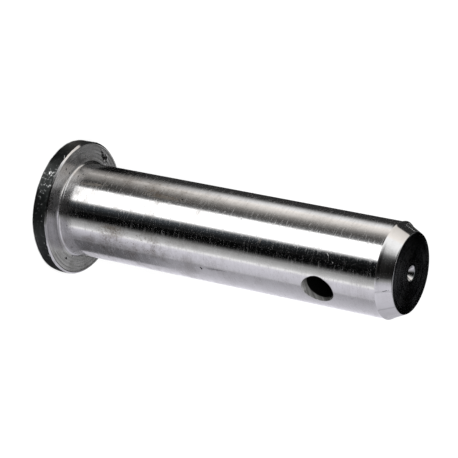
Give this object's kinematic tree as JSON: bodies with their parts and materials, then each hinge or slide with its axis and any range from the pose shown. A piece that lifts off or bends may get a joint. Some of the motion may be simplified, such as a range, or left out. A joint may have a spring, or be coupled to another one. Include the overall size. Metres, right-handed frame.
{
  "type": "clevis pin",
  "caption": "Round steel clevis pin with a flat disc head, a bevelled tip, and a cross hole near the tip for a split pin.",
  "frame": {"origin": "centre of the flat back of the head, on the surface the pin stands on", "axes": "+Z along the shank from the head to the tip; X along the cross hole; Y completes the right-handed frame"},
  "size_m": [0.037, 0.037, 0.1048],
  "materials": {
    "steel": "bright turned steel, satin; black forge scale on the head's rim and back"
  },
  "bodies": {
    "root": {"clevis_pin": "steel"}
  },
  "joints": []
}
